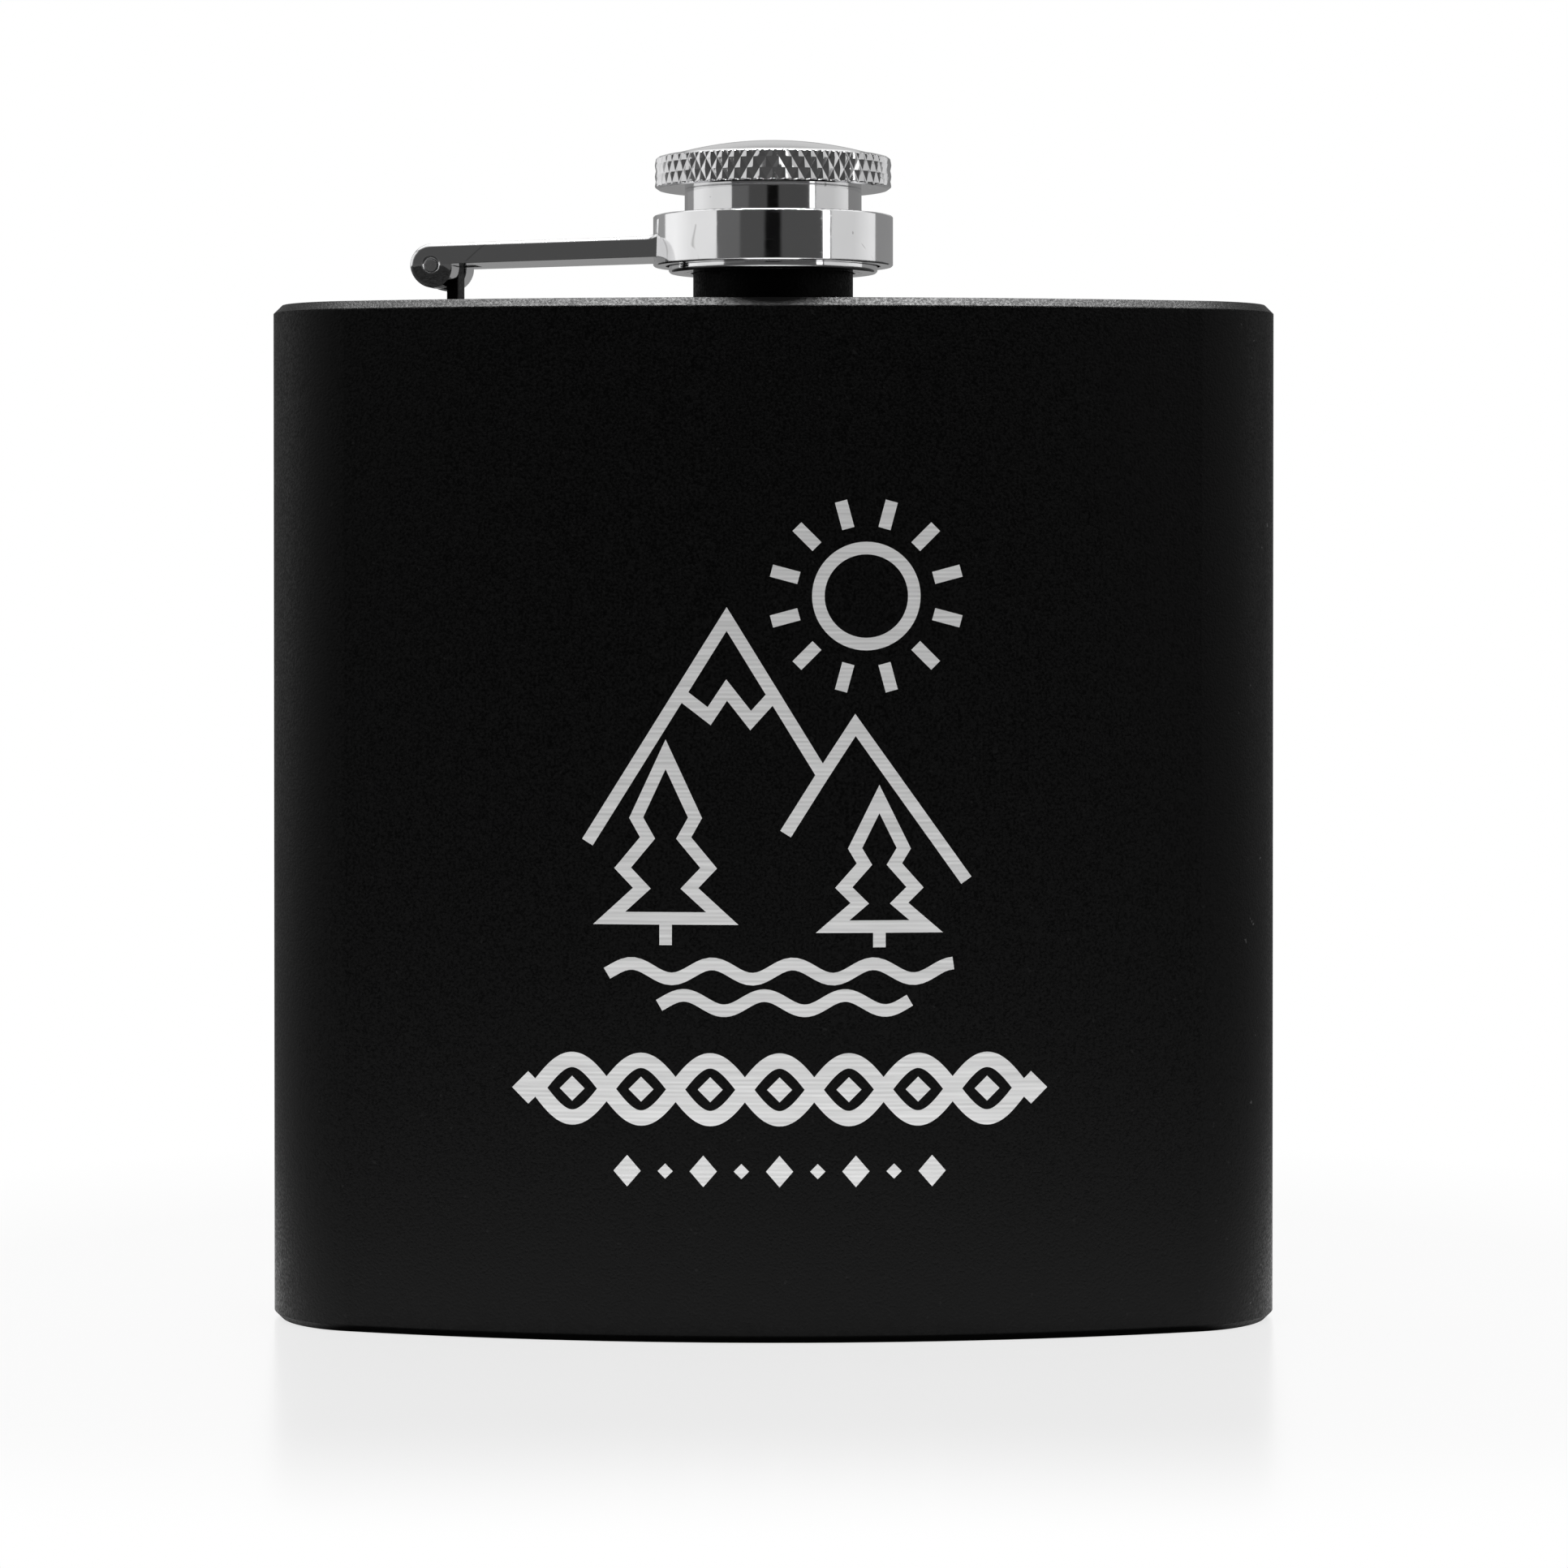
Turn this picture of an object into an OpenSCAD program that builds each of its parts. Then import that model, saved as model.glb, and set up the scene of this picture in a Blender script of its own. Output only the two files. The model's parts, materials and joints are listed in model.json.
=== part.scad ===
// Curved steel hip flask with a screw cap that stays on the flask by a hinged arm.
// Millimetres. +Z is up, the front face looks along -Y, and the origin is under the
// middle of the flask, on the surface that it stands on.

/* [Body] */
// Width of the shell across its rounded ends
body_w = 95; // [90:0.5:100]
// Height of the shell, from the base to the top plate
body_h = 96; // [80:0.5:110]
// Thickness of the shell between its front and back faces
body_t = 22; // [21:0.5:24]
// Radius of the front face, seen from above
front_r = 130; // [115:1:150]
// Thickness of the sheet steel in the wall
wall_t = 0.5; // [0.4:0.05:0.7]
// Thickness of the base plate and of the flange under the neck
plate_t = 0.8; // [0.7:0.05:0.9]
// Height of the bevel around the top plate
top_bevel = 0.8; // [0.7:0.05:0.9]
// Height of the bevel around the base plate
base_bevel = 0.7; // [0.5:0.05:0.8]

/* [Neck] */
// Diameter of the plain collar at the foot of the neck
collar_d = 15; // [14.8:0.05:15.1]
// Height of the collar above the top plate
collar_h = 4.4; // [4:0.1:4.6]
// Height of the whole neck above the top plate
neck_h = 9; // [8.8:0.05:9]
// Diameter of the mouth
mouth_d = 11.6; // [11:0.1:12]
// Outer diameter over the neck's thread
thread_d = 13.9; // [13.6:0.05:13.95]
// Rise of the thread in one turn
thread_lead = 1.5; // [1.3:0.05:1.6]

/* [Cap] */
// Diameter of the knurled knob
knob_d = 22.2; // [21.6:0.1:22.4]
// Height of the knurled band
knob_h = 3; // [2.6:0.1:3.4]
// Height of the dome above the band
dome_h = 1.55; // [1:0.1:2]
// Outer diameter of the cap's barrel
barrel_d = 16.6; // [16.5:0.05:16.7]
// Diameter of the flange that keeps the arm's ring on the barrel
retainer_d = 19.6; // [19:0.1:19.8]

/* [Arm] */
// Outer diameter of the ring around the cap
ring_d = 22.5; // [22.3:0.1:23]
// Height of the ring
ring_h = 4.7; // [4.7:0.05:5]
// Width of the arm along the hinge
arm_w = 9; // [8:0.1:9.4]
// Thickness of the arm
arm_t = 1.95; // [1.7:0.05:2]
// Angle at which the arm climbs from the hinge to the ring
arm_slope = 1.2; // [0.8:0.1:2]

/* [Hinge] */
// Distance from the neck's axis to the hinge pin, along the width
hinge_x = 31.5; // [30:0.1:32]
// Distance of the hinge pin behind the middle line of the plan
hinge_back = 1; // [0:0.1:1.5]
// Height of the pin above the top plate
pin_z = 3.6; // [3.5:0.05:3.8]
// Diameter of the pin
pin_d = 1.16; // [1:0.02:1.2]
// Radius of the two cheeks that hold the pin
cheek_r = 2.05; // [1.9:0.05:2.1]

/* [Hidden] */

$fn = 96;
eps = 0.01;

coat = [0.06, 0.06, 0.065];
chrome = [0.78, 0.79, 0.8];
liner_white = [0.86, 0.86, 0.83];

// Plan of the shell: a slab of even thickness, bent about an upright axis behind it,
// with full-round ends.
half_t = body_t / 2;
inner_t = half_t - wall_t;
skirt_t = inner_t - wall_t;
mid_r = front_r - half_t;
end_x = body_w / 2 - half_t;
end_angle = asin(end_x / mid_r);
end_sag = mid_r * (1 - cos(end_angle));
mid_y = -end_sag / 2;
end_y = mid_y + end_sag;

// Pressed plates
skirt_h = 2;
base_rim = 3;
base_recess = 0.5;

// Neck
neck_flange_d = 17.6;
core_r = thread_d / 2 - 0.45;
thread_z = collar_h + 0.8;
thread_turns = 2;
thread_root_w = 1;
thread_crest_w = 0.4;
thread_bite = 0.25;
thread_steps = 40;

// Cap, in heights above the top plate
gap = 0.05;
barrel_z = 2.75;
knob_z = 10.6;
barrel_bore_r = barrel_d / 2 - 0.55;
spigot_h = 0.75;
liner_r = barrel_bore_r - 0.15;
cap_thread_r = barrel_bore_r - 0.3;
cap_thread_z = thread_z + thread_lead / 2;
cap_thread_turns = 1.5;
retainer_h = 1.2;
retainer_chamfer = 0.2;
turning_gap = 0.3;
dome_r = knob_d / 2 - 0.9;
knob_chamfer = 0.25;

// Arm and hinge
ring_z = 3.4;
ring_flange_h = 1.3;
ring_bore_r = barrel_d / 2 + turning_gap;
ring_pocket_r = retainer_d / 2 + turning_gap;
ring_chamfer = 0.12;
hinge_y = mid_y + mid_r - sqrt(mid_r * mid_r - hinge_x * hinge_x) + hinge_back;
arm_yaw = atan2(hinge_y - mid_y, hinge_x);
arm_l = norm([hinge_x, hinge_y - mid_y]);
arm_root_w = arm_w + 1;
arm_low = cheek_r / cos(arm_slope) - arm_t;
slot_w = 3;
slot_end = 3.6;
knuckle_r = 1.9;
knuckle_w = 2.7;
leaf_t = 1.1;
foot_t = 0.5;
foot_x = 2;
foot_l = 3;
foot_w = 5.4;
foot_corner_r = 0.8;
pin_clearance = 0.06;
pin_inset = 0.12;
dimple_w = 0.35;
dimple_depth = 0.3;
cheek_slope = 18;
flare_l = 1.4;
flare_h = 0.5;
flare_inset = 1.6;
bar_overlap = 0.5;

// Sweeps a section around the shell's plan. The section's points are pairs of the
// distance from the plan's middle line and the height.
module shell_sweep(points) {
    translate([0, mid_y + mid_r, 0])
        rotate([0, 0, -90 - end_angle])
            rotate_extrude(angle = 2 * end_angle, $fn = 480)
                for (way = [-1, 1])
                    polygon([for (p = points) [mid_r + way * p[0], p[1]]]);
    for (side = [0, 1])
        mirror([side, 0, 0])
            translate([end_x, end_y, 0])
                rotate([0, 0, end_angle - 90])
                    rotate_extrude(angle = 180) polygon(points);
}

// Moves to the middle of the neck at a height above the top plate.
module on_neck(z) {
    translate([0, mid_y, body_h + z]) children();
}

// Moves to the middle of the hinge pin, with local +X along the arm to the neck.
module at_hinge() {
    translate([-hinge_x, hinge_y, body_h + pin_z])
        rotate([0, 0, -arm_yaw])
            children();
}

module tube(outer_r, inner_r, h) {
    difference() {
        cylinder(h = h, r = outer_r);
        translate([0, 0, -1]) cylinder(h = h + 2, r = inner_r);
    }
}

// A cylinder with a 45 degree chamfer on each end.
module chamfered(r, h, c) {
    rotate_extrude()
        polygon([[0, 0], [r - c, 0], [r, c], [r, h - c], [r - c, h], [0, h]]);
}

module rounded_plate(l, w, h, r) {
    linear_extrude(h) {
        square([l - 2 * r, w], center = true);
        square([l, w - 2 * r], center = true);
        for (x = [-1, 1], y = [-1, 1])
            translate([x * (l / 2 - r), y * (w / 2 - r)]) circle(r);
    }
}

// A helical thread ridge with a trapezoid section. It runs from root_r to crest_r, either
// outwards or inwards, and fades in and out over a quarter turn at its ends.
module thread_ridge(root_r, crest_r, turns) {
    n = round(turns * thread_steps);
    fade = thread_steps / 4;
    way = crest_r > root_r ? 1 : -1;
    w0 = way * thread_root_w / 2;
    w1 = way * thread_crest_w / 2;
    r0 = root_r - way * thread_bite;
    function crest(i) = root_r + (crest_r - root_r) * max(0.05, min(1, i / fade, (n - i) / fade));
    function corner(r, z, i) =
        let(a = 360 * i / thread_steps)
        [r * cos(a), r * sin(a), z + thread_lead * i / thread_steps];
    points = [for (i = [0:n]) each [
        corner(r0, -w0, i), corner(crest(i), -w1, i),
        corner(crest(i), w1, i), corner(r0, w0, i)
    ]];
    sides = [for (i = [0:n - 1], k = [0:3])
        let(a = 4 * i + k, b = 4 * i + (k + 1) % 4)
        each [[a, b, b + 4], [a, b + 4, a + 4]]];
    ends = [[3, 2, 1, 0], [4 * n, 4 * n + 1, 4 * n + 2, 4 * n + 3]];
    polyhedron(points, concat(sides, ends), convexity = 6);
}

// Rolled sheet wall, open at the top and the bottom.
module body_wall() {
    z0 = base_bevel;
    z1 = body_h - top_bevel;
    color(coat)
        shell_sweep([[inner_t, z0], [half_t, z0], [half_t, z1], [inner_t, z1]]);
}

// Pressed plate with a bevelled rim and a skirt that fits inside the wall.
module top_plate() {
    z0 = body_h - top_bevel;
    z1 = z0 - skirt_h;
    color(coat)
        difference() {
            shell_sweep([
                [0, z0], [skirt_t, z0], [skirt_t, z1], [inner_t, z1], [inner_t, z0],
                [half_t, z0], [half_t - top_bevel, body_h], [0, body_h]
            ]);
            translate([0, mid_y, z0 - 1]) cylinder(h = top_bevel + 2, r = core_r);
        }
}

// Pressed plate that stands on a rim, with its panel raised clear of the surface.
module base_plate() {
    z0 = base_recess + plate_t;
    z1 = base_bevel + skirt_h;
    rim = half_t - base_rim;
    color(coat)
        shell_sweep([
            [0, base_recess], [rim, base_recess], [rim, 0], [half_t - base_bevel, 0],
            [half_t, base_bevel], [inner_t, base_bevel], [inner_t, z1], [skirt_t, z1],
            [skirt_t, z0], [0, z0]
        ]);
}

// Spout: a flange under the top plate, a plain collar above it and a threaded mouth.
module neck() {
    color(coat)
        on_neck(0)
            difference() {
                union() {
                    translate([0, 0, -top_bevel - plate_t])
                        cylinder(h = plate_t, r = neck_flange_d / 2);
                    translate([0, 0, -top_bevel - eps])
                        cylinder(h = top_bevel + 2 * eps, r = core_r);
                    cylinder(h = collar_h, r = collar_d / 2);
                    translate([0, 0, collar_h - eps])
                        cylinder(h = neck_h - collar_h + eps, r = core_r);
                    translate([0, 0, thread_z])
                        thread_ridge(core_r, thread_d / 2, thread_turns);
                }
                translate([0, 0, -3]) cylinder(h = neck_h + 4, r = mouth_d / 2);
            }
}

// A thin foot on the top plate, an upright leaf and an eye around the pin.
module hinge_bracket() {
    color(coat)
        at_hinge()
            difference() {
                union() {
                    rotate([90, 0, 0])
                        cylinder(h = knuckle_w, r = knuckle_r, center = true);
                    translate([knuckle_r - leaf_t, -knuckle_w / 2, foot_t / 2 - pin_z])
                        cube([leaf_t, knuckle_w, pin_z - foot_t / 2]);
                    translate([foot_x, 0, -pin_z])
                        rounded_plate(foot_l, foot_w, foot_t, foot_corner_r);
                }
                rotate([90, 0, 0])
                    cylinder(h = 2 * knuckle_w, r = pin_d / 2 + pin_clearance, center = true);
            }
}

module hinge_pin() {
    color(chrome)
        at_hinge()
            rotate([90, 0, 0])
                cylinder(h = arm_w - 2 * pin_inset, r = pin_d / 2, center = true);
}

// Side view of the arm, without its ring: the cheek, the bar and its flare at the ring.
module arm_side() {
    climb = tan(arm_slope);
    far = arm_l - ring_pocket_r + bar_overlap;
    flare_end = arm_l - ring_d / 2 + flare_inset;
    flare_start = flare_end - flare_l;
    circle(cheek_r);
    polygon([
        [0, arm_low], [far, arm_low + far * climb],
        [far, arm_low + arm_t + far * climb + flare_h],
        [flare_end, arm_low + arm_t + flare_end * climb + flare_h],
        [flare_start, arm_low + arm_t + flare_start * climb], [0, arm_low + arm_t]
    ]);
}

// Countersink around an end of the pin, from its bottom up.
module pin_dimple() {
    cylinder(h = dimple_depth, r1 = pin_d / 2, r2 = pin_d / 2 + dimple_w);
    translate([0, 0, dimple_depth - eps]) cylinder(h = 1, r = pin_d / 2 + dimple_w);
}

// Top view of the arm: it widens towards the ring.
module arm_plan() {
    polygon([
        [-cheek_r - 1, -arm_w / 2], [cheek_r, -arm_w / 2], [arm_l, -arm_root_w / 2],
        [arm_l, arm_root_w / 2], [cheek_r, arm_w / 2], [-cheek_r - 1, arm_w / 2]
    ]);
}

// One casting: a ring around the cap's barrel, a flat arm and a fork for the pin. Below
// the pin, the outer faces of the fork slope inwards.
module cap_arm() {
    color(chrome)
        at_hinge()
            difference() {
                union() {
                    intersection() {
                        rotate([90, 0, 0])
                            linear_extrude(2 * arm_root_w, center = true) arm_side();
                        translate([0, 0, -5]) linear_extrude(10) arm_plan();
                    }
                    translate([arm_l, 0, ring_z - pin_z])
                        chamfered(ring_d / 2, ring_h, ring_chamfer);
                }
                translate([arm_l, 0, ring_z - pin_z - 1])
                    cylinder(h = ring_h - ring_flange_h + 1, r = ring_pocket_r);
                translate([arm_l, 0, ring_z - pin_z - 1])
                    cylinder(h = ring_h + 2, r = ring_bore_r);
                translate([-5, -slot_w / 2, -5]) cube([5 + slot_end, slot_w, 10]);
                rotate([90, 0, 0]) cylinder(h = 2 * arm_w, r = pin_d / 2, center = true);
                for (side = [-1, 1])
                    translate([0, side * arm_w / 2, 0]) {
                        rotate([-side * 90, 0, 0])
                            translate([0, 0, -dimple_depth])
                                pin_dimple();
                        rotate([-side * cheek_slope, 0, 0])
                            translate([0, side * 2, -2 * cheek_r])
                                cube([4 * cheek_r, 4, 4 * cheek_r], center = true);
                    }
            }
}

// Solid knob with a low dome and a spigot that is pressed into the barrel.
module cap_knob() {
    sphere_r = (dome_r * dome_r + dome_h * dome_h) / (2 * dome_h);
    color(chrome)
        on_neck(knob_z) {
            chamfered(knob_d / 2, knob_h, knob_chamfer);
            translate([0, 0, -spigot_h]) cylinder(h = spigot_h + eps, r = barrel_bore_r);
            intersection() {
                translate([0, 0, knob_h - eps]) cylinder(h = dome_h + 1, r = dome_r);
                translate([0, 0, knob_h + dome_h - sphere_r]) sphere(sphere_r, $fn = 180);
            }
        }
}

// Drawn tube with the cap's thread inside.
module cap_barrel() {
    color(chrome)
        on_neck(barrel_z) {
            tube(barrel_d / 2, barrel_bore_r, knob_z - barrel_z);
            translate([0, 0, cap_thread_z - barrel_z])
                thread_ridge(barrel_bore_r, cap_thread_r, cap_thread_turns);
        }
}

// Flange pressed on the foot of the barrel, under the arm's ring.
module cap_retainer() {
    color(chrome)
        on_neck(barrel_z)
            difference() {
                chamfered(retainer_d / 2, retainer_h, retainer_chamfer);
                translate([0, 0, -1]) cylinder(h = retainer_h + 2, r = barrel_d / 2);
            }
}

// Loose sealing disc between the neck's rim and the knob.
module cap_liner() {
    color(liner_white)
        on_neck(neck_h + gap)
            cylinder(h = knob_z - spigot_h - neck_h - 2 * gap, r = liner_r);
}

body_wall();
top_plate();
base_plate();
neck();
hinge_bracket();
hinge_pin();
cap_arm();
cap_knob();
cap_barrel();
cap_retainer();
cap_liner();
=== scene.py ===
import json
import math

import bmesh
import bpy
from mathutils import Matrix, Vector
from mathutils.geometry import delaunay_2d_cdt


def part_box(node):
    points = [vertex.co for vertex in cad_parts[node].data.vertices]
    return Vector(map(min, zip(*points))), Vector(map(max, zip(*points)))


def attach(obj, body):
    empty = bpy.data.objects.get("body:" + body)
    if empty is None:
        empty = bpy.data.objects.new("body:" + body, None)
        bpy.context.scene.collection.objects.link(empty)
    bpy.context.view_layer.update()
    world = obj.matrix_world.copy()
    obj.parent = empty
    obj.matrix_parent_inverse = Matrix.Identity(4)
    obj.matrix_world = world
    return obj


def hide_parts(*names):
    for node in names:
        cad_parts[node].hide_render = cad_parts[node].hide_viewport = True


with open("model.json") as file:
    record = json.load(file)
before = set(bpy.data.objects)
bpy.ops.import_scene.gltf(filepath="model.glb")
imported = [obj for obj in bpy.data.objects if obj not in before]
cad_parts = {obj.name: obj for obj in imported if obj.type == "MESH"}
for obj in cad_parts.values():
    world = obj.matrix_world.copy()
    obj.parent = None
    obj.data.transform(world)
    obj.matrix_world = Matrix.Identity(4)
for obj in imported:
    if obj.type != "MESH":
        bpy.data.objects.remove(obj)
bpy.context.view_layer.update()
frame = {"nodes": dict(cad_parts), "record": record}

MM = 0.001
mounts = {m["name"]: m for m in frame["record"]["mounts"]}
NECK_X, NECK_Y, _ = mounts["mouth"]["pos_m"]


# ---------------------------------------------------------------- materials

def new_material(name):
    mat = bpy.data.materials.new(name)
    mat.use_nodes = True
    return mat, mat.node_tree, mat.node_tree.nodes["Principled BSDF"]


def node(tree, kind, **inputs):
    n = tree.nodes.new(kind)
    for key, value in inputs.items():
        n.inputs[key.replace("_", " ")].default_value = value
    return n


def object_coords(tree):
    return tree.nodes.new("ShaderNodeTexCoord").outputs["Object"]


def noise(tree, coords, scale, detail=3.0, rough=0.5):
    n = node(tree, "ShaderNodeTexNoise", Scale=scale, Detail=detail, Roughness=rough)
    tree.links.new(coords, n.inputs["Vector"])
    return n.outputs["Fac"]


def mapped(tree, value, low, high, to_low, to_high):
    n = tree.nodes.new("ShaderNodeMapRange")
    for key, v in zip(("From Min", "From Max", "To Min", "To Max"), (low, high, to_low, to_high)):
        n.inputs[key].default_value = v
    tree.links.new(value, n.inputs["Value"])
    return n.outputs["Result"]


def math_node(tree, operation, a, b):
    n = tree.nodes.new("ShaderNodeMath")
    n.operation = operation
    for i, v in enumerate((a, b)):
        if isinstance(v, (int, float)):
            n.inputs[i].default_value = v
        else:
            tree.links.new(v, n.inputs[i])
    return n.outputs[0]


def mix_colors(tree, share, a, b):
    n = tree.nodes.new("ShaderNodeMix")
    n.data_type = "RGBA"
    tree.links.new(share, n.inputs["Factor"])
    for key, v in (("A", a), ("B", b)):
        socket = next(s for s in n.inputs if s.name == key and s.type == "RGBA")
        if isinstance(v, tuple):
            socket.default_value = (*v, 1)
        else:
            tree.links.new(v, socket)
    return next(s for s in n.outputs if s.type == "RGBA")


def bump(tree, height, strength, distance, normal=None):
    n = node(tree, "ShaderNodeBump", Strength=strength, Distance=distance)
    tree.links.new(height, n.inputs["Height"])
    if normal is not None:
        tree.links.new(normal, n.inputs["Normal"])
    return n.outputs["Normal"]


def rounded_edges(tree, radius):
    n = node(tree, "ShaderNodeBevel", Radius=radius)
    n.samples = 6
    return n.outputs["Normal"]


def parts_of(tree, vector):
    """The parts of a vector, as outputs with the names X, Y and Z."""
    n = tree.nodes.new("ShaderNodeSeparateXYZ")
    tree.links.new(vector, n.inputs[0])
    return n.outputs


def length_of(tree, vector):
    n = tree.nodes.new("ShaderNodeVectorMath")
    n.operation = "LENGTH"
    tree.links.new(vector, n.inputs[0])
    return n.outputs["Value"]


def scaled(tree, coords, scale, rotation=(0, 0, 0)):
    n = node(tree, "ShaderNodeMapping", Scale=scale, Rotation=rotation)
    tree.links.new(coords, n.inputs["Vector"])
    return n.outputs["Vector"]


def camera_sees(tree, shown, lighting):
    """One shader for what the camera sees, and another one for what lights the flask."""
    paths = tree.nodes.new("ShaderNodeLightPath")
    n = tree.nodes.new("ShaderNodeMixShader")
    tree.links.new(paths.outputs["Is Camera Ray"], n.inputs["Fac"])
    tree.links.new(lighting, n.inputs[1])
    tree.links.new(shown, n.inputs[2])
    return n.outputs[0]


def coat_material(name, specular):
    """Matte black powder coat: fine grain, uneven sheen, a few pale specks at its right end."""
    mat, tree, bsdf = new_material(name)
    at = object_coords(tree)
    grain = noise(tree, at, 4200, 2)
    mottle = noise(tree, at, 900, 3)
    specks = mapped(tree, noise(tree, at, 1500, 1), 0.76, 0.79, 0, 0.35)
    right_end = mapped(tree, parts_of(tree, at)["X"], 43 * MM, 47 * MM, 0.05, 1)
    dust = math_node(tree, "MULTIPLY", specks, right_end)
    base = mix_colors(tree, mapped(tree, grain, 0.35, 0.65, 0, 1),
                      (0.0001, 0.0001, 0.0001), (0.0018, 0.0018, 0.00185))
    tree.links.new(mix_colors(tree, dust, base, (0.3, 0.3, 0.3)), bsdf.inputs["Base Color"])
    uneven = mapped(tree, grain, 0.35, 0.65, 0.36, 0.6)
    tree.links.new(math_node(tree, "ADD", uneven, mapped(tree, mottle, 0.3, 0.7, -0.03, 0.03)),
                   bsdf.inputs["Roughness"])
    bsdf.inputs["Specular IOR Level"].default_value = specular
    tree.links.new(bump(tree, grain, 0.8, 0.05 * MM, rounded_edges(tree, 0.12 * MM)),
                   bsdf.inputs["Normal"])
    return mat


def chrome_material(name, rough, tint=0.86, edge=0.15):
    """Polished metal with smudges, hairline scratches and slightly wavy polish."""
    mat, tree, bsdf = new_material(name)
    at = object_coords(tree)
    smudge = noise(tree, at, 160, 4, 0.6)
    lines = noise(tree, scaled(tree, at, (300, 2600, 5200), (0.3, 0.9, 0.4)), 1, 1)
    hairline = mapped(tree, lines, 0.68, 0.72, 0, 1)
    # A scratch follows the middle level of a coarse noise, within patches of a finer one.
    off_level = math_node(tree, "SUBTRACT", noise(tree, at, 110, 0), 0.5)
    near_level = mapped(tree, math_node(tree, "ABSOLUTE", off_level, 0), 0, 0.006, 1, 0)
    patches = mapped(tree, noise(tree, at, 330, 1), 0.56, 0.6, 0, 1)
    scratch = math_node(tree, "MULTIPLY", near_level, patches)
    specks = mapped(tree, noise(tree, at, 1300, 1), 0.77, 0.8, 0, 1)
    marks = math_node(tree, "MAXIMUM", scratch, specks)
    bsdf.inputs["Metallic"].default_value = 1
    clean = mix_colors(tree, smudge, (tint, tint, tint * 1.005),
                       (tint * 0.9, tint * 0.9, tint * 0.91))
    tree.links.new(mix_colors(tree, marks, clean, (tint * 0.6, tint * 0.6, tint * 0.6)),
                   bsdf.inputs["Base Color"])
    base = mapped(tree, smudge, 0.35, 0.75, rough, rough * 2.2)
    tree.links.new(math_node(tree, "ADD", base, math_node(tree, "MULTIPLY", hairline, 0.06)),
                   bsdf.inputs["Roughness"])
    wave = noise(tree, at, 240, 2)
    tree.links.new(bump(tree, wave, 0.25, 0.03 * MM, rounded_edges(tree, edge * MM)),
                   bsdf.inputs["Normal"])
    return mat


def engraving_material():
    """Laser-etched steel: pale, dull, with the fine level lines of the laser's passes."""
    mat, tree, bsdf = new_material("etched_steel")
    at = object_coords(tree)
    wobble = math_node(tree, "MULTIPLY", noise(tree, at, 300, 2), 0.6)
    height = math_node(tree, "MULTIPLY", parts_of(tree, at)["Z"], 16000)
    phase = math_node(tree, "ADD", height, wobble)
    passes = math_node(tree, "SINE", phase, 0)
    streaks = noise(tree, scaled(tree, at, (120, 120, 3600)), 1, 2)
    level = math_node(tree, "ADD", math_node(tree, "MULTIPLY", passes, 0.12), streaks)
    tree.links.new(mix_colors(tree, mapped(tree, level, 0.2, 0.8, 0, 1), (0.58, 0.58, 0.58),
                              (0.8, 0.8, 0.8)), bsdf.inputs["Base Color"])
    bsdf.inputs["Roughness"].default_value = 0.6
    bsdf.inputs["Specular IOR Level"].default_value = 0.3
    tree.links.new(bump(tree, passes, 0.3, 0.01 * MM), bsdf.inputs["Normal"])
    return mat


def liner_material():
    mat, tree, bsdf = new_material("liner_white")
    at = object_coords(tree)
    fine = noise(tree, at, 1400, 3)
    tree.links.new(mix_colors(tree, fine, (0.74, 0.73, 0.69), (0.82, 0.81, 0.78)),
                   bsdf.inputs["Base Color"])
    tree.links.new(mapped(tree, fine, 0.3, 0.7, 0.5, 0.65), bsdf.inputs["Roughness"])
    tree.links.new(bump(tree, fine, 0.2, 0.02 * MM), bsdf.inputs["Normal"])
    return mat


COAT = coat_material("powder_coat", 0.12)
NECK_COAT = coat_material("neck_coat", 0.05)
CHROME = chrome_material("polished_chrome", 0.05)
KNURL_CHROME = chrome_material("knurled_chrome", 0.06, 0.72, 0.02)
BARREL_CHROME = chrome_material("barrel_chrome", 0.06, 0.74)
STEEL = chrome_material("pin_steel", 0.22, 0.6, 0.05)
ETCHED = engraving_material()
LINER = liner_material()

for name, mat in (("body_wall", COAT), ("top_plate", COAT), ("base_plate", COAT),
                  ("neck", NECK_COAT), ("hinge_bracket", COAT), ("hinge_pin", STEEL),
                  ("cap_arm", CHROME), ("cap_barrel", BARREL_CHROME), ("cap_knob", CHROME),
                  ("cap_retainer", CHROME), ("cap_liner", LINER)):
    frame["nodes"][name].data.materials.clear()
    frame["nodes"][name].data.materials.append(mat)


# ---------------------------------------------------------------- meshes

def add_piece(name, verts, faces, mat, body, sharp_deg=30):
    mesh = bpy.data.meshes.new(name)
    mesh.from_pydata(verts, [], faces)
    mesh.validate()
    mesh.shade_smooth()
    mesh.set_sharp_from_angle(angle=math.radians(sharp_deg))
    mesh.materials.append(mat)
    obj = bpy.data.objects.new(name, mesh)
    bpy.context.scene.collection.objects.link(obj)
    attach(obj, body)
    return obj


# Vertices closer than MERGE are one. Edges flatter than FLAT_DEG go, edges sharper than
# ROUND_DEG are rounded, and those that are still sharper than SHARP_DEG are shaded sharp.
MERGE = 0.001 * MM
FLAT_DEG = 0.6
ROUND_DEG = 28
SHARP_DEG = 35


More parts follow.
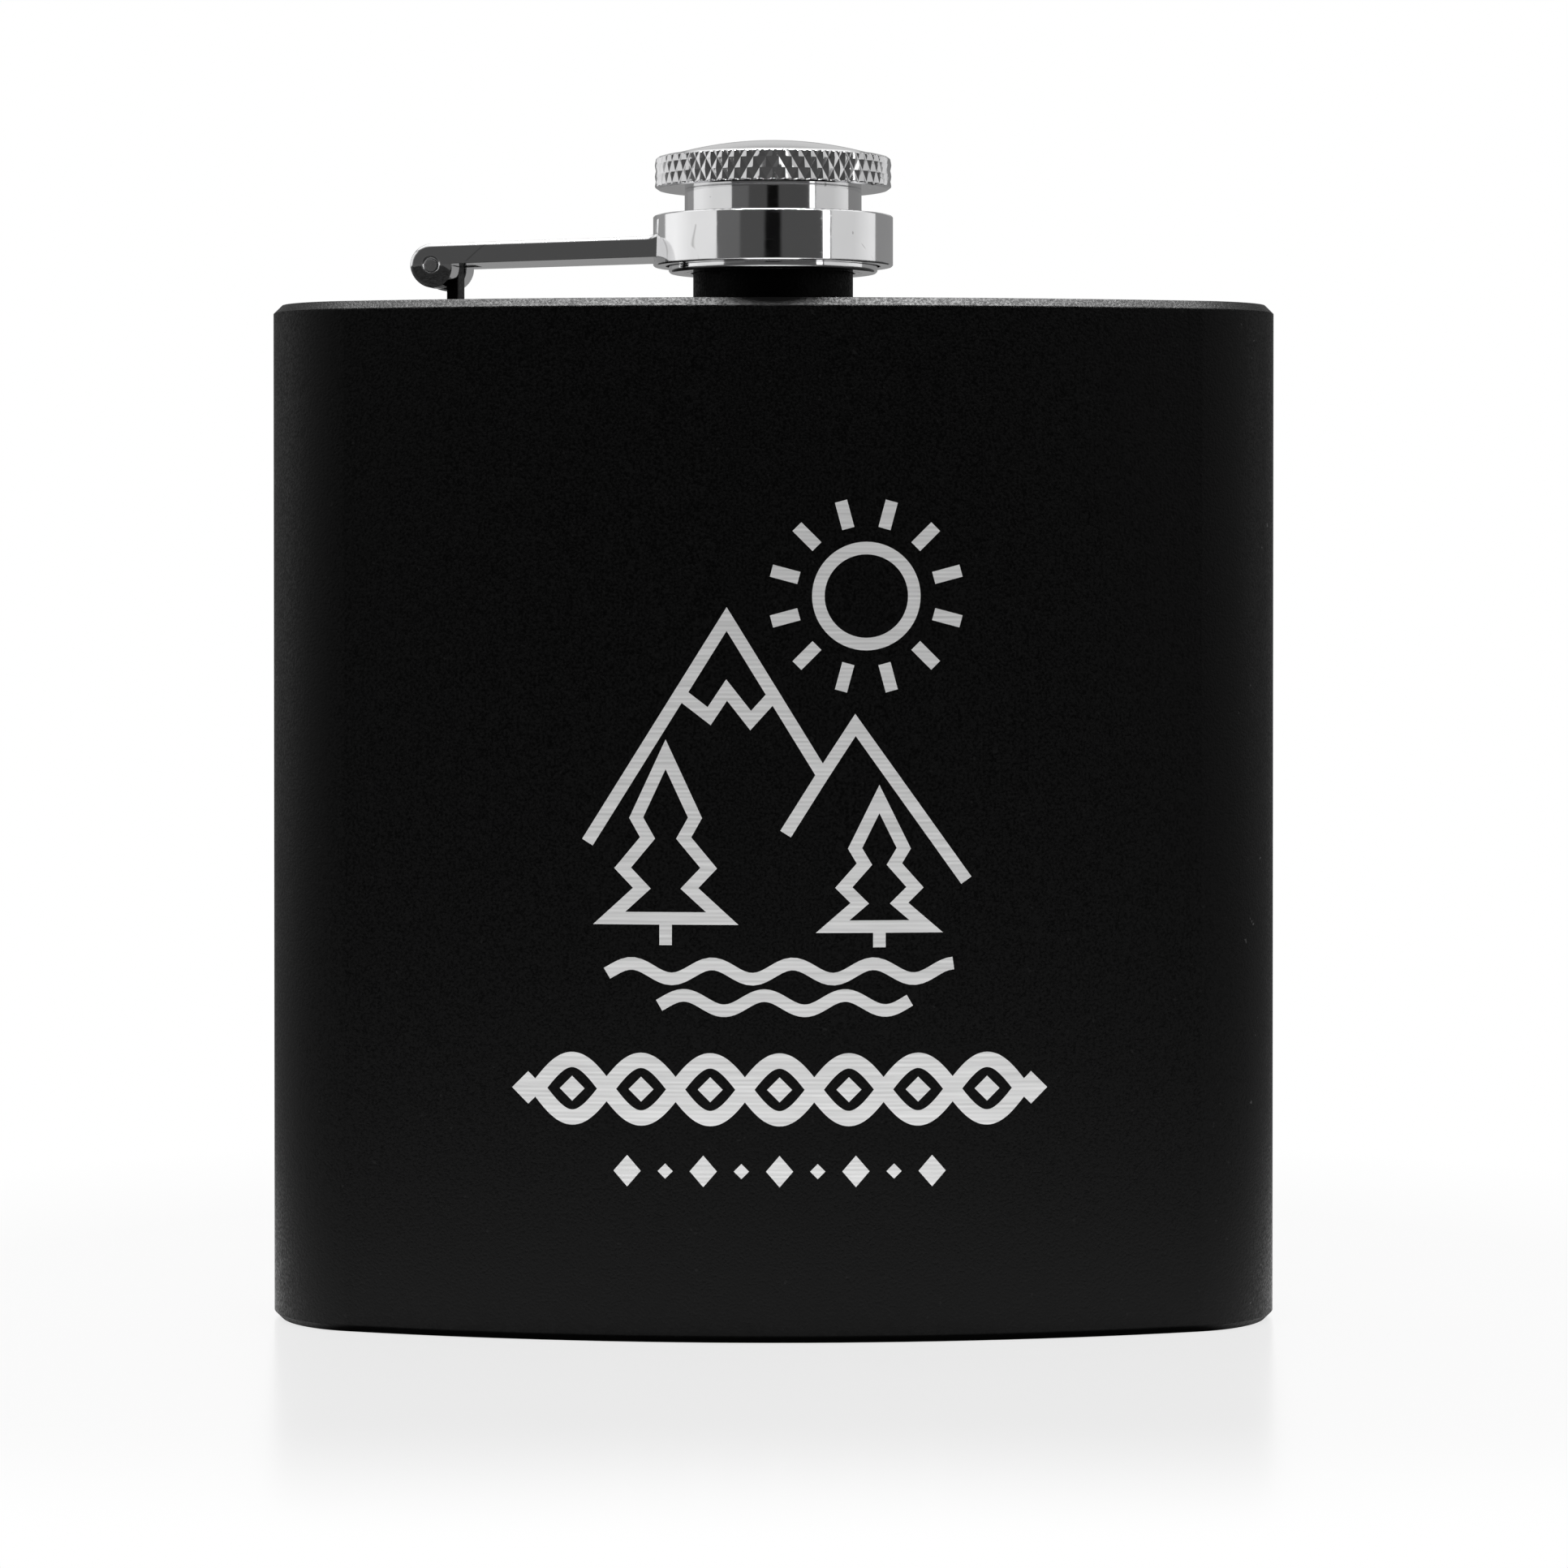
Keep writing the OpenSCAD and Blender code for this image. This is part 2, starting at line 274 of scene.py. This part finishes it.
def refined(node_name, piece, mat, body, rounds):
    """A copy of a CAD node with sharp edges rounded and curved faces smooth.

    Each round is a width in millimetres, a number of segments and the test that picks its
    edges; without a test it takes them all.
    """
    bm = bmesh.new()
    bm.from_mesh(frame["nodes"][node_name].data)
    bmesh.ops.remove_doubles(bm, verts=bm.verts, dist=MERGE)
    bmesh.ops.dissolve_limit(bm, angle_limit=math.radians(FLAT_DEG), verts=bm.verts,
                             edges=bm.edges)
    for width, segments, test in rounds:
        edges = [e for e in bm.edges
                 if len(e.link_faces) == 2 and e.calc_face_angle(0) > math.radians(ROUND_DEG)
                 and (test is None or test(e))]
        bmesh.ops.bevel(bm, geom=edges, offset=width * MM, offset_type="OFFSET",
                        segments=segments, profile=0.5, affect="EDGES",
                        clamp_overlap=test is None)
    mesh = bpy.data.meshes.new(piece)
    bm.to_mesh(mesh)
    bm.free()
    mesh.shade_smooth()
    mesh.set_sharp_from_angle(angle=math.radians(SHARP_DEG))
    mesh.materials.clear()
    mesh.materials.append(mat)
    obj = bpy.data.objects.new(piece, mesh)
    bpy.context.scene.collection.objects.link(obj)
    weighted = obj.modifiers.new("weighted", "WEIGHTED_NORMAL")
    weighted.keep_sharp = True
    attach(obj, body)
    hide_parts(node_name)


_, arm_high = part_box("cap_arm")
RING_R = arm_high.x - NECK_X
pin_low, pin_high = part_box("hinge_pin")
PIN = (pin_low + pin_high) / 2
TO_NECK = Vector((NECK_X - PIN.x, NECK_Y - PIN.y, 0)).normalized()
# Distances from the pin: sideways to the arm's sides, out to the fork's hole and dimples,
# up to between the arm's two faces, and along the arm to past the fork's round end.
SIDES = 3.7 * MM
HOLE_ZONE = 1.9 * MM
MID_BAR = 0.9 * MM
PAST_FORK = 2.3 * MM
NEARLY = 0.05 * MM


def on_bar_outline(edge):
    """True for the outer edges of the arm's bar and cheeks, not for its ring or pin hole."""
    for vert in edge.verts:
        from_pin = vert.co - PIN
        along = from_pin.dot(TO_NECK)
        across = abs(from_pin.x * TO_NECK.y - from_pin.y * TO_NECK.x)
        if across < SIDES or math.hypot(along, from_pin.z) < HOLE_ZONE:
            return False
    reach = [math.hypot(v.co.x - NECK_X, v.co.y - NECK_Y) - RING_R for v in edge.verts]
    return min(reach) > -NEARLY and max(reach) > NEARLY


def on_top(edge):
    return on_bar_outline(edge) and all(v.co.z > PIN.z + MID_BAR or
                                        (v.co - PIN).dot(TO_NECK) < 0 for v in edge.verts)


def underneath(edge):
    return on_bar_outline(edge) and all(v.co.z < PIN.z + MID_BAR and
                                        (v.co - PIN).dot(TO_NECK) > PAST_FORK
                                        for v in edge.verts)


refined("cap_arm", "captive_arm", CHROME, "arm", [(0.4, 5, on_top), (0.1, 2, underneath)])
refined("cap_barrel", "threaded_barrel", BARREL_CHROME, "cap", [])
refined("cap_retainer", "retaining_flange", CHROME, "cap", [(0.08, 2, None)])
refined("hinge_bracket", "bracket", COAT, "flask", [(0.1, 2, None)])


# Knurled knob. The ridges cross at an angle, which leaves pointed diamonds.
KNURLS = 58
STEPS = 8
DIAMOND_H = 2.0 * MM
KNURL_DEPTH = 0.2 * MM
FLAT_FROM = 0.92
BAND_H = 3.0 * MM
CHAMFER = 0.25 * MM
CONE_SLOPE = 1.4
DOME_INSET = 0.9 * MM
DOME_STEPS = 14
BARREL_WALL = 0.55 * MM


def knob_piece():
    low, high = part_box("cap_knob")
    barrel_low, barrel_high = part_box("cap_barrel")
    radius = (high.x - low.x) / 2
    spigot_r = (barrel_high.x - barrel_low.x) / 2 - BARREL_WALL
    z0 = barrel_high.z
    dome_r = radius - DOME_INSET
    dome_h = high.z - z0 - BAND_H
    sphere_r = (dome_r ** 2 + dome_h ** 2) / (2 * dome_h)
    columns = KNURLS * STEPS
    straight = BAND_H - 2 * CHAMFER
    n = round(straight / (DIAMOND_H / STEPS))
    edge = [CHAMFER * t for t in (0.25, 0.5, 0.75)]
    levels = edge + [CHAMFER + straight * j / n for j in range(n + 1)]
    levels += [BAND_H - z for z in reversed(edge)]
    rim_r = radius - CONE_SLOPE * CHAMFER
    rows = [(spigot_r, low.z - z0, None), (spigot_r, 0, None), (rim_r, 0, None)]
    rows += [(min(radius, rim_r + CONE_SLOPE * min(z, BAND_H - z)), z,
              (z - CHAMFER) * n / straight) for z in levels]
    rows += [(rim_r, BAND_H, None), (dome_r, BAND_H, None)]
    for k in range(1, DOME_STEPS):
        r = dome_r * (1 - k / DOME_STEPS)
        rows.append((r, BAND_H + dome_h - sphere_r + math.sqrt(sphere_r ** 2 - r ** 2), None))

    def saw(t):
        return 1 - abs(2 * (t % 1) - 1)

    verts = []
    for r, z, j in rows:
        for i in range(columns):
            out = r
            if j is not None:
                peak = min(saw((i + j) / STEPS), saw((i - j) / STEPS), FLAT_FROM) / FLAT_FROM
                out = min(r, radius - KNURL_DEPTH * (1 - peak))
            a = 2 * math.pi * i / columns
            verts.append((NECK_X + out * math.cos(a), NECK_Y + out * math.sin(a), z0 + z))
    first_full = 3 + len(edge)
    faces = []
    for k in range(len(rows) - 1):
        j = k - first_full
        for i in range(columns):
            a = k * columns + i
            b = k * columns + (i + 1) % columns
            c, d = b + columns, a + columns
            if rows[k][2] is not None and rows[k + 1][2] is not None:
                if (i + 1 + j) % STEPS == 0:
                    faces += [(a, b, d), (b, c, d)]
                else:
                    faces += [(a, b, c), (a, c, d)]
            else:
                faces.append((a, b, c, d))
    bottom, top = len(verts), len(verts) + 1
    verts += [(NECK_X, NECK_Y, low.z), (NECK_X, NECK_Y, high.z)]
    last = (len(rows) - 1) * columns
    for i in range(columns):
        n1 = (i + 1) % columns
        faces.append((bottom, n1, i))
        faces.append((top, last + i, last + n1))
    obj = add_piece("knurled_knob", verts, faces, KNURL_CHROME, "cap", 12)
    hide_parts("cap_knob")


knob_piece()


# Engraving: strokes in millimetres across and up the front face.
FRONT_R = 130.0
front_low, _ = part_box("body_wall")
FRONT_Y = front_low.y / MM
ETCH_OUT = 0.012
ETCH_IN = 0.1
STRIP_W = 1.5
LINE = 1.15
BRAID_LINE = 1.4


def stroke(points, width, closed=False):
    """Quads of even width along a line of points, mitred at its corners."""
    n = len(points)
    sides = []
    for i, p in enumerate(points):
        before = points[i - 1] if i or closed else None
        after = points[(i + 1) % n] if i < n - 1 or closed else None
        directions = []
        if before is not None:
            directions.append((Vector(p) - Vector(before)).normalized())
        if after is not None:
            directions.append((Vector(after) - Vector(p)).normalized())
        along = sum(directions, Vector((0, 0))).normalized()
        out = Vector((-along.y, along.x))
        first = directions[0]
        lean = max(0.35, out.dot(Vector((-first.y, first.x))))
        reach = width / 2 / lean
        sides.append((Vector(p) + out * reach, Vector(p) - out * reach))
    count = n if closed else n - 1
    return [[sides[i][0], sides[i][1], sides[(i + 1) % n][1], sides[(i + 1) % n][0]]
            for i in range(count)]


def arc(cx, cz, r, start, end, step=6):
    n = max(2, int(abs(end - start) / step))
    return [(cx + r * math.cos(math.radians(start + (end - start) * i / n)),
             cz + r * math.sin(math.radians(start + (end - start) * i / n)))
            for i in range(n + 1)]


def lozenge(cx, cz, w, h):
    return [Vector(p) for p in ((cx - w / 2, cz), (cx, cz - h / 2), (cx + w / 2, cz),
                                (cx, cz + h / 2))]


def etched(name, shapes):
    """Joins flat shapes into one closed plate that follows the front face.

    Upright cuts, STRIP_W apart, let the plate bend with the face.
    """
    verts, faces = [], []
    for shape in shapes:
        faces.append(list(range(len(verts), len(verts) + len(shape))))
        verts += [Vector(p) for p in shape]
    xs = [v.x for v in verts]
    zs = [v.y for v in verts]
    edges = []
    x = math.floor(min(xs))
    while x <= max(xs) + 1:
        edges.append((len(verts), len(verts) + 1))
        verts += [Vector((x, min(zs) - 1)), Vector((x, max(zs) + 1))]
        x += STRIP_W
    points, _, tris, _, _, sources = delaunay_2d_cdt(verts, edges, faces, 0, 1e-4, True)
    tris = [t for t, s in zip(tris, sources) if s]
    used = sorted({i for t in tris for i in t})
    index = {v: k for k, v in enumerate(used)}

    def on_front(p, out):
        drop = FRONT_R - math.sqrt(FRONT_R ** 2 - p.x ** 2)
        nx, ny = p.x / FRONT_R, -math.sqrt(1 - (p.x / FRONT_R) ** 2)
        return ((p.x + nx * out) * MM, (FRONT_Y + drop + ny * out) * MM, p.y * MM)

    top = [on_front(points[i], ETCH_OUT) for i in used]
    under = [on_front(points[i], -ETCH_IN) for i in used]
    n = len(used)
    all_faces = []
    borders = {}
    for t in tris:
        a, b, c = (index[i] for i in t)
        u, v = points[t[1]] - points[t[0]], points[t[2]] - points[t[0]]
        if u.x * v.y - u.y * v.x < 0:
            b, c = c, b
        all_faces += [(a, b, c), (c + n, b + n, a + n)]
        for e in ((a, b), (b, c), (c, a)):
            borders[e] = borders.get(e, 0) + 1
    for (a, b) in borders:
        if (b, a) not in borders:
            all_faces.append((b, a, a + n, b + n))
    add_piece(name, top + under, all_faces, ETCHED, "flask")


def pine(x, z, h, w, tiers=3):
    """Outline of a pine tree with a short trunk, standing at x, z."""
    trunk = h * 0.14
    tier = (h - trunk) / tiers
    right = []
    for k in range(tiers):
        z_low = z + trunk + tier * k * 0.92
        half = w / 2 * (1 - 0.24 * k)
        right += [(x + half, z_low), (x + half * 0.42, z_low + tier * 0.55)]
    right[-1] = (x, z + h)
    left = [(2 * x - px, pz) for px, pz in reversed(right[:-1])]
    return (stroke(right + left, LINE, closed=True)
            + stroke([(x, z), (x, z + trunk)], LINE))


def main_motif():
    shapes = []
    # Sun with rays
    sun = (8.6, 68.6)
    disc_r, ray_from, ray_to, rays = 4.4, 6.4, 9.0, 12
    shapes += stroke(arc(*sun, disc_r, 0, 354), LINE, closed=True)
    for k in range(rays):
        a = math.radians(360 / rays * (k + 0.5))
        shapes += stroke([(sun[0] + r * math.cos(a), sun[1] + r * math.sin(a))
                          for r in (ray_from, ray_to)], LINE)
    # Mountains
    shapes += stroke([(-17.0, 46.0), (-4.2, 66.5), (4.6, 52.2), (7.6, 56.8), (17.8, 42.5)], LINE)
    shapes += stroke([(-8.4, 59.6), (-5.8, 57.6), (-4.2, 60.0), (-2.0, 57.2), (0.0, 59.4)], LINE)
    shapes += stroke([(4.6, 52.2), (1.2, 46.8)], LINE)
    # Pines
    shapes += pine(-9.8, 36.6, 17.5, 10.4)
    shapes += pine(9.8, 36.4, 13.6, 8.6)
    # Water
    wave_l, wave_h, steps = 7.4, 0.7, 64
    for row, (x0, x1) in enumerate(((-15.2, 16.6), (-10.4, 12.6))):
        z = 34.2 - 2.9 * row
        xs = [x0 + (x1 - x0) * i / steps for i in range(steps + 1)]
        shapes += stroke([(x, z + wave_h * math.sin(2 * math.pi * x / wave_l + row * 2.2))
                          for x in xs], LINE)
    return shapes


def braided_band():
    shapes = []
    x0, x1, z, swing = -21.6, 22.9, 23.35, 2.65
    waves = 7
    steps = 224
    for sign in (1, -1):
        line = [(x0 + (x1 - x0) * i / steps,
                 z + sign * swing * math.sin(math.pi * waves * i / steps))
                for i in range(steps + 1)]
        shapes += stroke(line, BRAID_LINE)
    for k in range(waves):
        c = x0 + (x1 - x0) * (k + 0.5) / waves
        shapes.append(lozenge(c, z, 2.3, 2.3))
    for end, way in ((x0, -1), (x1, 1)):
        shapes.append(lozenge(end + way * 0.9, z, 3.0, 3.0))
    return shapes


def lozenge_row():
    shapes = []
    count, pitch, middle_x, z = 9, 3.5, 0.65, 15.85
    for k in range(count):
        x = middle_x + (k - (count - 1) / 2) * pitch
        w, h = (2.5, 2.9) if k % 2 == 0 else (1.4, 1.4)
        shapes.append(lozenge(x, z, w, h))
    return shapes


etched("engraved_landscape", main_motif())
etched("engraved_braid", braided_band())
etched("engraved_lozenges", lozenge_row())


# ---------------------------------------------------------------- stage

# The table mirrors the flask fully behind one line and not at all in front of another.
MIRROR_FROM = -0.100
MIRROR_FULL = -0.048
# The flask's painted contact shadow in the table's glow: a thick line with round ends, bent like
# the flask.
SHADOW_END = 0.0365
SHADOW_AHEAD = 0.0029
SHADOW_BEND = 4.1
SHADOW_R = 0.0115
SHADOW_BLUR = 0.002
FLOOR_HALF = 4
FLOOR_DROP = 0.02 * MM


def floor_material():
    """Pale glossy table, as bright as the backdrop unless the flask is mirrored in it; it lights
    the flask with a painted glow and a painted contact shadow.
    """
    mat, tree, bsdf = new_material("studio_floor")
    at = object_coords(tree)
    fine = noise(tree, at, 20, 2)
    tree.links.new(mix_colors(tree, fine, (0.08, 0.08, 0.08), (0.09, 0.09, 0.09)),
                   bsdf.inputs["Base Color"])
    tree.links.new(mapped(tree, fine, 0.3, 0.7, 0.22, 0.24), bsdf.inputs["Roughness"])
    bsdf.inputs["Specular IOR Level"].default_value = 0.3
    bsdf.inputs["Emission Color"].default_value = (1, 1, 1, 1)
    bsdf.inputs["Emission Strength"].default_value = 0.76
    # The mirrored image fades out towards the camera. What the table gives the flask is painted
    # light, a glow that lights it less than the table's own look would.
    place = parts_of(tree, at)
    fade = tree.nodes.new("ShaderNodeMapRange")
    fade.interpolation_type = "SMOOTHSTEP"
    fade.inputs["From Min"].default_value = MIRROR_FROM
    fade.inputs["From Max"].default_value = MIRROR_FULL
    tree.links.new(place["Y"], fade.inputs["Value"])
    reach = length_of(tree, at)
    close_by = mapped(tree, reach, 0.09, 0.14, 1, 0)
    plain = tree.nodes.new("ShaderNodeEmission")
    mirrored = tree.nodes.new("ShaderNodeMixShader")
    tree.links.new(math_node(tree, "MULTIPLY", fade.outputs["Result"], close_by),
                   mirrored.inputs["Fac"])
    tree.links.new(plain.outputs[0], mirrored.inputs[1])
    tree.links.new(bsdf.outputs[0], mirrored.inputs[2])
    # Under and right beside the flask a painted shadow darkens the table's glow, and it follows
    # the flask's bend.
    across = math_node(tree, "ABSOLUTE", place["X"], 0)
    past_end = math_node(tree, "SUBTRACT", across, SHADOW_END)
    squared = math_node(tree, "MULTIPLY", place["X"], place["X"])
    bend = math_node(tree, "MULTIPLY", squared, -SHADOW_BEND)
    ahead = math_node(tree, "ADD", place["Y"], SHADOW_AHEAD)
    beside = tree.nodes.new("ShaderNodeCombineXYZ")
    tree.links.new(math_node(tree, "MAXIMUM", past_end, 0), beside.inputs["X"])
    tree.links.new(math_node(tree, "ADD", ahead, bend), beside.inputs["Y"])
    from_middle = length_of(tree, beside.outputs[0])
    # Painted contact shadow: the glow falls to 0.02 inside the bent line and is full outside it.
    outside_painted_shadow = mapped(tree, from_middle, SHADOW_R, SHADOW_R + SHADOW_BLUR, 0.02, 1)
    # Painted light: the table's glow is brighter close to the flask and towards the back.
    near = mapped(tree, reach, 0.05, 0.15, 1.6, 0)
    behind = mapped(tree, place["Y"], 0, 0.1, 0.09, 0.28)
    painted_floor_glow = tree.nodes.new("ShaderNodeEmission")
    tree.links.new(math_node(tree, "MULTIPLY", math_node(tree, "ADD", near, behind),
                             outside_painted_shadow), painted_floor_glow.inputs["Strength"])
    tree.links.new(camera_sees(tree, mirrored.outputs[0], painted_floor_glow.outputs[0]),
                   tree.nodes["Material Output"].inputs["Surface"])
    return mat


floor_mesh = bpy.data.meshes.new("floor")
floor_mesh.from_pydata([(FLOOR_HALF * x, FLOOR_HALF * y, 0)
                        for x, y in ((-1, -1), (1, -1), (1, 1), (-1, 1))], [], [(0, 1, 2, 3)])
floor_mesh.materials.append(floor_material())
floor = bpy.data.objects.new("floor", floor_mesh)
bpy.context.scene.collection.objects.link(floor)
floor.location.z = -FLOOR_DROP

world = bpy.data.worlds.new("studio")
bpy.context.scene.world = world
world.use_nodes = True
wt = world.node_tree
wt.nodes.clear()


def studio_light():
    """Brightness of the studio by direction: -Y is the camera's side, and +Z is up.

    The lens is a dark spot right behind the camera, and the window a bright one opposite.
    """
    toward = parts_of(wt, wt.nodes.new("ShaderNodeTexCoord").outputs["Generated"])
    rear = mapped(wt, toward["Y"], -0.1, 0.3, 0.075, 0.27)
    window = math_node(wt, "MULTIPLY", mapped(wt, toward["Y"], 0.84, 0.92, 0, 0.38),
                       mapped(wt, toward["Z"], 0.12, 0.25, 0, 1))
    lens = mapped(wt, toward["Y"], -0.992, -0.985, -0.07, 0)
    left_front = mapped(wt, toward["X"], -0.54, -0.5, 0.06, 0)
    ceiling = mapped(wt, toward["Z"], 0.56, 0.7, 0, 1.0)
    level = rear
    for other in (window, lens, left_front, ceiling):
        level = math_node(wt, "ADD", level, other)
    return level


backdrop = node(wt, "ShaderNodeBackground", Color=(1, 1, 1, 1), Strength=1)
lighting = node(wt, "ShaderNodeBackground", Color=(1, 1, 1, 1))
wt.links.new(studio_light(), lighting.inputs["Strength"])
wt.links.new(camera_sees(wt, backdrop.outputs[0], lighting.outputs[0]),
             wt.nodes.new("ShaderNodeOutputWorld").inputs["Surface"])


LIT_POINT = Vector((0, 0, 0.08))


def card(name, azimuth, elevation, distance, width, height, watts):
    """A soft light that faces the flask. Azimuth 0 is in front of it, 90 on its right."""
    light = bpy.data.lights.new(name, "AREA")
    light.shape = "RECTANGLE"
    light.size = width
    light.size_y = height
    light.energy = watts
    obj = bpy.data.objects.new(name, light)
    bpy.context.scene.collection.objects.link(obj)
    a, e = math.radians(azimuth), math.radians(elevation)
    away = Vector((math.sin(a) * math.cos(e), -math.cos(a) * math.cos(e), math.sin(e)))
    obj.location = LIT_POINT + away * distance
    obj.rotation_mode = "QUATERNION"
    obj.rotation_quaternion = (-away).to_track_quat("-Z", "Y")
    obj.visible_camera = False
    return obj


card("card_left", -90, 5, 0.6, 0.85, 0.7, 1.35)
card("card_right", 86, 5, 0.6, 0.66, 0.7, 0.9)
card("strip_right", 52, 8, 0.7, 0.09, 0.7, 0.35)
card("card_top", 0, 60, 0.9, 1.0, 0.4, 2.4).visible_glossy = False
card("card_overhead", 180, 86, 0.8, 0.5, 0.4, 32).visible_diffuse = False

# The camera stands in front of the flask, tilted down and turned by a few tenths of a degree.
TILT_DEG = 0.614
TURN_DEG = 0.17
cam_data = bpy.data.cameras.new("camera")
cam_data.sensor_width = 36
cam_data.lens = 105.2
cam_data.shift_y = -0.115
camera = bpy.data.objects.new("camera", cam_data)
bpy.context.scene.collection.objects.link(camera)
camera.location = (0.0023, -0.4332, 0.0724)
camera.rotation_euler = (math.radians(90 - TILT_DEG), 0, math.radians(TURN_DEG))
bpy.context.scene.camera = camera
bpy.context.scene.view_settings.view_transform = "Standard"
